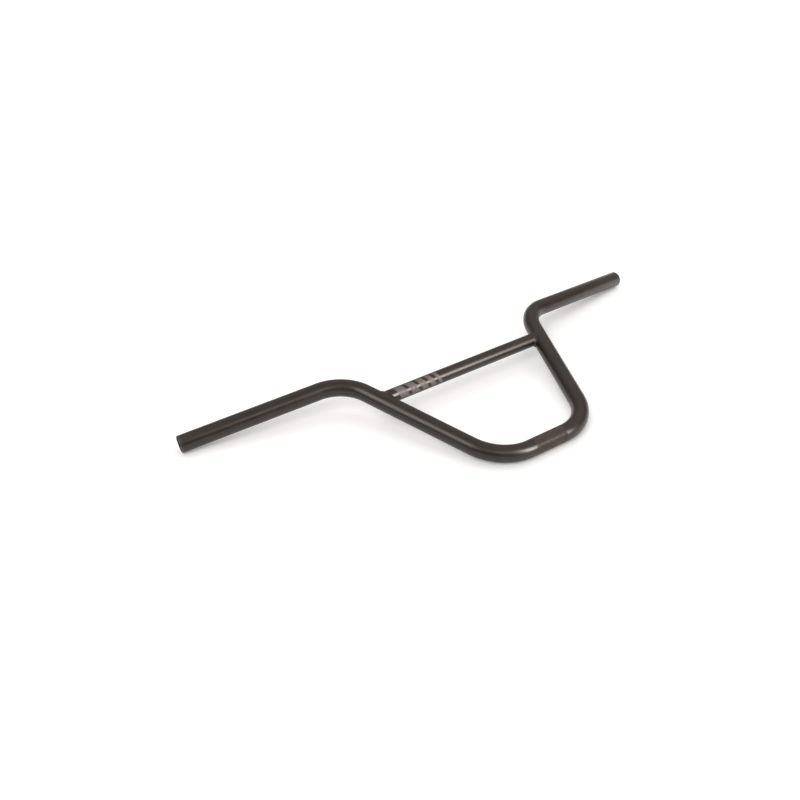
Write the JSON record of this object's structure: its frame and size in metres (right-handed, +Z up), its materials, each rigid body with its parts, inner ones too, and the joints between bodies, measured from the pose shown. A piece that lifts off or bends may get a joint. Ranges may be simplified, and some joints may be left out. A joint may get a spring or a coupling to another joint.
{
  "type": "bicycle handlebar",
  "caption": "High-rise bicycle handlebar of bent steel tube with swept grip ends, a knurled clamp section and a thinner crossbar welded between the risers, in satin black.",
  "frame": {"origin": "centre of the clamp section, on the tube's axis", "axes": "+X along the clamp section, +Y over the floor towards the bar's top, +Z up from the floor that the bar lies on, which is at z = -11.1 mm"},
  "size_m": [0.7412, 0.2736, 0.0463],
  "materials": {
    "satin_black_paint": "satin black powder coat with a warm tint"
  },
  "bodies": {
    "root": {"bar_tube": "satin_black_paint", "crossbar": "satin_black_paint", "left_weld": "satin_black_paint", "right_weld": "satin_black_paint"}
  },
  "joints": []
}
